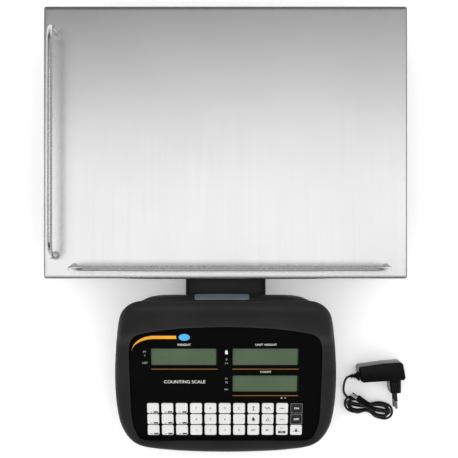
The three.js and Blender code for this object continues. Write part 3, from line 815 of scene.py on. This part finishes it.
def add_bracket():
    """The sheet-metal bracket, and the cross bolt with its five-lobed knob."""
    refined_copy("mounting_bracket", "bracket_channel", "black_paint", "base", 1.1)
    low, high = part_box("tilt_knob")
    lobe = 1.3
    waist = (high.y - low.y) / 2 / MM - 1.4
    sections = ((0, 0.7), (0.2, 0.86), (1.4, 0.97), (3, 1), (10.5, 1), (12.6, 0.96), (13.7, 0.86),
                (14, 0.7))
    star = loft([polar_ring(90, lambda angle: (waist + lobe * math.cos(5 * angle)) * grow, level)
                 for level, grow in sections])
    seat = Vector((low.x + 0.014, PIVOT.y, PIVOT.z))
    mesh_object("tilt_knob_star", *moved(star, aim(seat, (-1, 0, 0))), "black_paint", "tilt_knob",
                replaced=("tilt_knob",))
    bolt = [(0, 0), (4, 0), (4, 96), (3.4, 97.6), (0, 97.6)]
    nut = [(0, 91.4), (6.4, 91.4), (6.9, 92), (6.9, 96), (6.4, 96.4), (0, 96.4)]
    parts = merge_parts([lathe(bolt, 32), lathe(nut, 6)])
    mesh_object("tilt_bolt", *moved(parts, aim(seat, (1, 0, 0))), "bolt_steel", "tilt_knob")


# ---- indicator ----

SHELL_HALF = [
    (0, -94), (45, -92.7), (75, -90), (93, -86.8), (104, -81.5), (112, -73), (117.5, -62),
    (121, -49), (123.6, -25), (124, 5), (122.5, 32), (120, 58), (116.5, 80), (111, 91),
    (102, 98), (90, 100.6), (60, 101.2), (0, 101.6),
]
REAR_HALF = [
    (0, -91), (45, -90), (74, -87.5), (92, -84), (103, -78), (112, -68), (118, -52), (121, -25),
    (121.5, 5), (120, 32), (117, 57), (111, 76), (102, 88), (92, 94.5), (82, 98.3), (60, 100.2),
    (0, 100.7),
]
PANEL_HALF = [
    (0, -77.5), (45, -77.5), (85, -77.3), (95, -75.8), (100.3, -70.5), (106.3, -50), (107.3, -10),
    (107.3, 35), (105.8, 50), (101.5, 59), (94, 63.6), (75, 67.2), (45, 70.8), (0, 72.4),
]
RAYS = 320
LENS_TOP = 101.4
BEZEL = 3.4  # rise of the crest over the panel, at the sides and at the hood
HOOD = 7.4
EAR_RADIUS = 11
DISPLAYS = ("lcd_weight", "lcd_unit_weight", "lcd_count")


def rim_level(v):
    """Height of the shell's crest over the panel: low at the sides, high over the hood."""
    return BEZEL + (HOOD - BEZEL) * smoothstep(46, 66, v)


def ray_outline(half):
    """The outline with this right half, bottom to top, as points on even rays from the origin."""
    corners = [Vector((u, v, 0)) for u, v in half + [(-u, v) for u, v in half[-2:0:-1]]]
    loop = curve_through(corners[-1:] + corners + corners[:2], 8)
    outline = []
    for i in range(RAYS):
        angle = 2 * math.pi * i / RAYS
        reach = ray_reach(loop, angle)
        outline.append((reach * math.cos(angle), reach * math.sin(angle)))
    return outline


def face_block(sizes, radius, u, v, steps=5):
    """A block on the indicator's face from (width, height, level) sections round (u, v)."""
    return loft(rectangle_rings(sizes, radius, lambda x, y, n: on_face(x + u, y + v, n), steps))


def add_front_shell(inner):
    """A lid with a high hood over the panel, lower bezels and a rounded outer edge."""
    outer = ray_outline(SHELL_HALF)

    def row(share, level_at):
        ring = []
        for (outer_u, outer_v), (inner_u, inner_v) in zip(outer, inner):
            u = outer_u + (inner_u - outer_u) * share
            v = outer_v + (inner_v - outer_v) * share
            ring.append(on_face(u, v, level_at(u, v)))
        return ring

    rings = []
    for share, level in ((0.3, -4.4), (0.075, -4.4), (0.045, -4.4), (0.012, -3.6), (0, -2), (0, -0.9)):
        rings.append(row(share, lambda u, v: level))
    # From the widest line over the crest and down to the panel's edge.
    for share, rise in ((0.012, 0.1), (0.04, 0.28), (0.09, 0.5), (0.16, 0.7), (0.25, 0.86),
                        (0.36, 0.95), (0.48, 1.0), (0.62, 1.0), (0.76, 0.97), (0.88, 0.93),
                        (0.95, 0.9)):
        rings.append(row(share, lambda u, v: -0.9 + (rim_level(v) + 0.9) * rise))
    rings.append(row(0.985, lambda u, v: rim_level(v) * 0.83))
    rings.append(row(1, lambda u, v: rim_level(v) * 0.7))
    rings.append(row(1, lambda u, v: 0.4))
    rings.append(row(1, lambda u, v: -3.9))
    mesh_object("front_shell_lid", *loft(rings), "shell_black", "indicator",
                replaced=("front_shell",), sharp=48)


def scaled_outline(loop, inset):
    """A star-shaped outline drawn in by about an inset, as rays from its middle."""
    result = []
    for u, v in loop:
        share = 1 - inset / math.hypot(u, v)
        result.append((u * share, v * share))
    return result


def add_rear_shell():
    """The tub behind the lid, with two ears, four screws and two rows of dark strips that paint the shade
    of vent slots.
    """
    edge = ray_outline(REAR_HALF)
    levels = [(-32, 15), (-31.8, 12.5), (-31, 9.8), (-29.4, 7.2), (-27, 5.2), (-24, 3.7), (-20, 2.1),
              (-16, 0.7), (-13.5, 0), (-10, 0.4), (-6.5, 1.5), (-5.2, 1.9), (-4.8, 2.5)]
    tub = loft([[on_face(u, v, n) for u, v in scaled_outline(edge, inset)] for n, inset in levels])
    mesh_object("rear_shell_tub", *merge_parts([tub, ear_part(-1), ear_part(1)]), "shell_black",
                "indicator", replaced=("rear_shell",), sharp=40)
    screws = []
    for u, v in ((-88, 72), (88, 72), (-92, -62), (92, -62)):
        screws.append(moved(socket_screw(3.6, 1.6), aim(on_face(u, v, -31.6), -FACE_N)))
    mesh_object("housing_screws", *merge_parts(screws), "bolt_steel", "indicator")
    # Painted shade: the vent slots are not cut, and thin dark strips stand where the shade inside them
    # would be.
    vent_shade = []
    for side in (-1, 1):
        for i in range(7):
            vent_shade.append(face_block([(2.2, 24, -31.9), (2.2, 24, -32.15)], 1, side * (58 + 4.6 * i), 5, 3))
    mesh_object("housing_vent_shade", *merge_parts(vent_shade), "lcd_frame", "indicator")


def ear_part(side):
    """One of the two ears of the housing that the cross bolt passes through."""
    outline = []
    for i in range(25):
        angle = math.pi + math.pi * i / 24
        outline.append((EAR_RADIUS * math.cos(angle), EAR_RADIUS * math.sin(angle) - 5))
    outline += [(12.5, 2), (18, 11), (-18, 11), (-12.5, 2)]
    rings = []
    for u, inset in ((36, 0.6), (36.5, 0), (40.5, 0), (41, 0.6)):
        rings.append([on_face(side * u, PIVOT_V + v, PIVOT_N + 5 + n)
                      for v, n in scaled_outline(outline, inset)])
    return loft(rings)


def add_panel(inner):
    """The printed film, with a window for each display."""
    outlines = [scaled_outline(inner, 0.35)]
    for node in DISPLAYS:
        u, v = face_place(node)
        outlines.append([(x + u, y + v) for x, y in rounded_rectangle(74, 23.6, 1.0, 4)])
    flat_plate("panel_film_sheet", outlines, -1.2, 0, "panel_film", "indicator",
               replaced=("keypad_overlay",))


def add_displays():
    """Each module gets a dark rim, and the green glass lies a little to its left and top, so the rim shows
    at the right and bottom as painted shade inside the window.
    """
    rim = [(75, 24.6, -3.2), (75, 24.6, -2.8), (74.6, 24.2, -2.6)]
    glass = [(72.4, 21.8, -2.65), (72.4, 21.8, -2.3), (72.2, 21.6, -2.2)]
    for node in DISPLAYS:
        u, v = face_place(node)
        mesh_object(node + "_rim_and_shade", *face_block(rim, 0.8, u, v, 3), "lcd_frame", "indicator",
                    "lcd_green")
        # The shift to the left and top leaves a strip of the dark rim bare as painted shade.
        mesh_object(node + "_glass", *face_block(glass, 0.8, u - 0.8, v + 0.6, 3), "lcd_green",
                    "indicator", "lcd_green", (node,))


def add_lens():
    """The grey bar lies in the rear wall, so its sections follow each other up the face."""
    middle = centre("status_light_lens").x / MM
    sizes = [(60, 13, -6.7), (60, 13, -1.1), (59.6, 12.6, -0.5), (58.8, 11.8, -0.15), (57, 10, 0)]
    rings = rectangle_rings(
        sizes, 3.2, lambda x, y, level: on_face(x + middle, LENS_TOP + level, y - 12), 6)
    mesh_object("status_lens", *loft(rings), "lens_grey", "indicator",
                replaced=("status_light_lens",))


# ---- keys and printing ----

COLUMNS = 11
ROWS = 3
KEY_PRINT = 1.2  # level of the print in the key's dish
PANEL_PRINT = 0.02  # and on the panel
SIGN_OFFSET = 43.8  # of the small signs to the left of a display
BAND_TOP = 58.6
BAND_THICKNESS = 4.0
BADGE_U = -45.6


def key_place(row, column):
    """A key's node and its (u, v)."""
    node = "key_r%d_c%d" % (row, column)
    return node, *face_place(node)


def add_keys():
    """Dished caps; the last key of the two upper rows is black."""
    sizes = [(13.4, 13.1, -3.2), (13.4, 13.1, 0.6), (13.3, 13, 0.9), (13.05, 12.75, 1.12),
             (12.6, 12.3, 1.25), (12, 11.7, 1.3), (9, 8.7, 1.2), (4, 3.7, 1.15)]
    for row in range(1, ROWS + 1):
        for column in range(1, COLUMNS + 1):
            node, u, v = key_place(row, column)
            material = "key_black" if column == COLUMNS and row < ROWS else "key_white"
            mesh_object(node + "_cap", *face_block(sizes, 1.9, u, v), material, node,
                        replaced=(node,), sharp=60)


def add_text(name, text, u, v, n, size, material, body, bold=0.0):
    curve = bpy.data.curves.new(name, "FONT")
    curve.body = text
    curve.size = size * MM
    curve.extrude = 0.00003
    curve.offset = bold * MM
    curve.align_x = "CENTER"
    curve.align_y = "CENTER"
    curve.resolution_u = 3
    obj = new_object(name, curve)
    obj.matrix_world = FACE_MATRIX @ Matrix.Translation((u * MM, v * MM, n * MM))
    finish_piece(obj, material, body)


def add_mark(name, shapes, u, v, n, material, body):
    """Flat printed shapes; each is a list of (x, y) corners round (u, v)."""
    parts = []
    for shape in shapes:
        parts.append(loft([[on_face(u + x, v + y, level) for x, y in shape]
                           for level in (n, n + 0.06)]))
    mesh_object(name, *merge_parts(parts), material, body)


def bar(x, y, width, height):
    return [(x - width / 2, y - height / 2), (x + width / 2, y - height / 2),
            (x + width / 2, y + height / 2), (x - width / 2, y + height / 2)]


def disc(x, y, radius, sides=20):
    return [(x + radius * math.cos(2 * math.pi * i / sides),
             y + radius * math.sin(2 * math.pi * i / sides)) for i in range(sides)]


def frame_shapes(width, height, line):
    """Four bars round a rectangle."""
    return [bar(0, height / 2, width, line), bar(0, -height / 2, width, line),
            bar(-width / 2, 0, line, height), bar(width / 2, 0, line, height)]


KEY_TEXTS = {
    (1, 4): "7", (1, 5): "8", (1, 6): "9", (1, 7): "C",
    (2, 4): "4", (2, 5): "5", (2, 6): "6", (2, 7): ".",
    (3, 4): "1", (3, 5): "2", (3, 6): "3", (3, 7): "0",
}
KEY_WORDS = {(3, 8): "SET", (3, 9): "M+"}
KEY_MARKS = {
    (1, 8): [bar(0, 2.4, 3.2, 0.5), bar(0, -2.4, 3.2, 0.5), bar(0, 0, 0.6, 4.6),
             [(-1, 1.2), (1, 1.2), (0, 2.2)], [(-1, -1.2), (0, -2.2), (1, -1.2)]],
    (1, 9): [[(-3.4, 1.6), (-3, 2), (-0.6, -0.4), (-1, -0.8)], [(-1.6, -1.4), (0.2, -1.2), (-0.4, 0.2)],
             [(0.4, 0.8), (2.8, -1.6), (3.2, -1.2), (0.8, 1.2)], [(0, 1.8), (0.2, 0), (1.8, 1.6)]],
    (1, 10): [bar(-2, 0, 2, 0.5), bar(2, 0, 2, 0.5), disc(0, 0, 0.8, 14),
              [(-1.3, 0), (-2, 0.7), (-2, -0.7)], [(1.3, 0), (2, -0.7), (2, 0.7)]],
    (2, 8): [disc(0, 0.8, 1.5, 18), bar(0, -0.4, 3, 1.6), bar(0, -1.4, 4, 0.5), disc(0, -2.1, 0.6, 12),
             disc(0, 2.5, 0.5, 12)],
    (2, 9): [[(-0.9, 0.9), (0.9, 0.9), (0, 2.5)], [(-2.1, -1.2), (-0.3, -1.2), (-1.2, 0.4)],
             [(0.3, -1.2), (2.1, -1.2), (1.2, 0.4)], bar(0, -2, 5.6, 0.45)],
    (2, 10): [bar(-1.8, 0, 2, 0.5), bar(1.8, 0, 2, 0.5), [(-0.7, -0.6), (0.7, -0.6), (0, 0.8)]],
    (3, 11): [bar(0, -0.9, 3, 2.6), disc(0, 1.5, 0.8, 14), bar(-3.2, -1.6, 1.8, 0.5),
              bar(3.2, -1.6, 1.8, 0.5)],
}


def add_key_print():
    for words, size, bold in ((KEY_TEXTS, 4.2, 0), (KEY_WORDS, 3.4, 0.05)):
        for place, text in words.items():
            node, u, v = key_place(*place)
            add_text("print_" + node, text, u, v, KEY_PRINT, size, "print_black", node, bold)
    for place, shapes in KEY_MARKS.items():
        node, u, v = key_place(*place)
        add_mark("print_" + node, shapes, u, v, KEY_PRINT, "print_black", node)
    # Memory keys carry a dark tag in the lower right corner.
    tag = [bar(3.1, -4.7, 5, 2.1), bar(-2.2, -4.9, 2.6, 0.7)]
    for row in range(1, ROWS + 1):
        for column in range(1, 4):
            node, u, v = key_place(row, column)
            add_mark("print_" + node, tag, u, v, KEY_PRINT + 0.03, "print_black", node)
    node, u, v = key_place(3, 10)
    add_text("print_key_function", "F1", u, v + 2.4, KEY_PRINT, 3.4, "print_black", node)
    add_mark("print_key_function_tag", [bar(0, -2.6, 8.4, 3.2)], u, v, KEY_PRINT, "print_black", node)
    add_text("print_key_function_two", "F2", u, v - 2.6, KEY_PRINT + 0.08, 3, "print_white", node)
    for row, text in ((1, "ON"), (2, "OFF")):
        node, u, v = key_place(row, COLUMNS)
        add_text("print_" + node, text, u, v, KEY_PRINT, 3.5, "print_white", node, 0.06)
        add_mark("outline_" + node, frame_shapes(12.5, 12.2, 0.5), u, v, KEY_PRINT, "print_grey", node)


def add_panel_print():
    (weight_u, weight_v), (unit_u, unit_v), (_, count_v) = map(face_place, DISPLAYS)
    for name, text, u, v, size in (
            ("weight", "WEIGHT", weight_u, weight_v + 16.6, 3.9),
            ("unit_weight", "UNIT WEIGHT", unit_u, unit_v + 16.6, 3.7),
            ("count", "COUNT", unit_u, count_v + 16.4, 3.5),
            ("title", "COUNTING SCALE", weight_u, -0.4, 5.5)):
        add_text("print_" + name, text, u, v, PANEL_PRINT, size, "print_white", "indicator")
    left_signs = weight_u - SIGN_OFFSET
    right_signs = unit_u - SIGN_OFFSET
    for name, text, u, v in (
            ("pt", "PT", left_signs, weight_v + 7.6), ("tare", "T", left_signs, weight_v + 2.6),
            ("net", "NET", left_signs, weight_v - 6.4), ("grams", "g", right_signs, unit_v - 1.2),
            ("arrows", "><", right_signs, unit_v - 7), ("f1", "F1", right_signs, count_v + 7.6),
            ("f2", "F2", right_signs, count_v + 2.8), ("sum", "M+", right_signs, count_v - 6.4)):
        add_text("print_" + name, text, u, v, PANEL_PRINT, 3.3, "print_grey", "indicator", 0.03)
    add_mark("print_battery", [bar(0, -0.3, 2.8, 4.2), bar(0, 2.2, 1.4, 0.9)], right_signs,
             unit_v + 7.2, PANEL_PRINT, "print_white", "indicator")
    for node in DISPLAYS:
        u, v = face_place(node)
        add_mark("line_" + node, [bar(0, 0, 74, 1.0)], u, v - 14.3, PANEL_PRINT, "print_brown",
                 "indicator")
    star = []
    for i in range(10):
        reach = 1.3 if i % 2 == 0 else 0.55
        angle = math.pi / 2 + math.pi * i / 5
        star.append((2.2 + reach * math.cos(angle), reach * math.sin(angle)))
    add_mark("print_symbols", [disc(-1.8, 0, 1.1, 16), star], 65, count_v - 17.4, PANEL_PRINT,
             "print_grey", "indicator")


def add_band():
    """A plain amber band that bends down and runs out to a point, beside a blank blue badge."""
    start_u, bend_u, tip_u, tip_v = -54.5, -79, -104, 38.6
    bottom = BAND_TOP - BAND_THICKNESS
    outer, inner = [(start_u, BAND_TOP)], [(start_u, bottom)]
    for i in range(21):
        angle = math.pi / 2 * i / 20
        u = bend_u + (tip_u - bend_u) * math.sin(angle)
        outer.append((u, tip_v + (BAND_TOP - tip_v) * math.cos(angle)))
        inner.append((u, tip_v + (bottom - tip_v) * math.cos(angle)))
    add_mark("print_band", [outer + inner[-2::-1]], 0, 0, PANEL_PRINT, "print_amber", "indicator")
    badge = [(6.2 * x, 4.2 * y) for x, y in disc(0, 0, 1, 40)]
    add_mark("print_badge", [badge], BADGE_U, BAND_TOP - BAND_THICKNESS / 2, PANEL_PRINT,
             "print_blue", "indicator")


def finish_cad_nodes():
    """The CAD nodes that stay visible get the finish of their own slot."""
    slots = {part["node"]: part["material_slot"] for part in RECORD["subparts"]}
    for name, obj in NODES.items():
        for material_slot in obj.material_slots:
            material_slot.material = MATERIALS[slots[name]]


# ---- the scene ----

add_camera()
MATERIALS = make_materials()
cord_piece, cord_start, cord_length = add_cord()
plug_pieces = add_dc_plug()
tie_piece = add_cord_tie()
add_adapter()
add_mains_plug()
add_lights()
add_floor()
finish_cad_nodes()
add_platter()
add_rails()
add_platform()
add_feet()
add_bracket()
panel_edge = ray_outline(PANEL_HALF)
add_front_shell(panel_edge)
add_rear_shell()
add_panel(panel_edge)
add_displays()
add_lens()
add_keys()
add_key_print()
add_panel_print()
add_band()
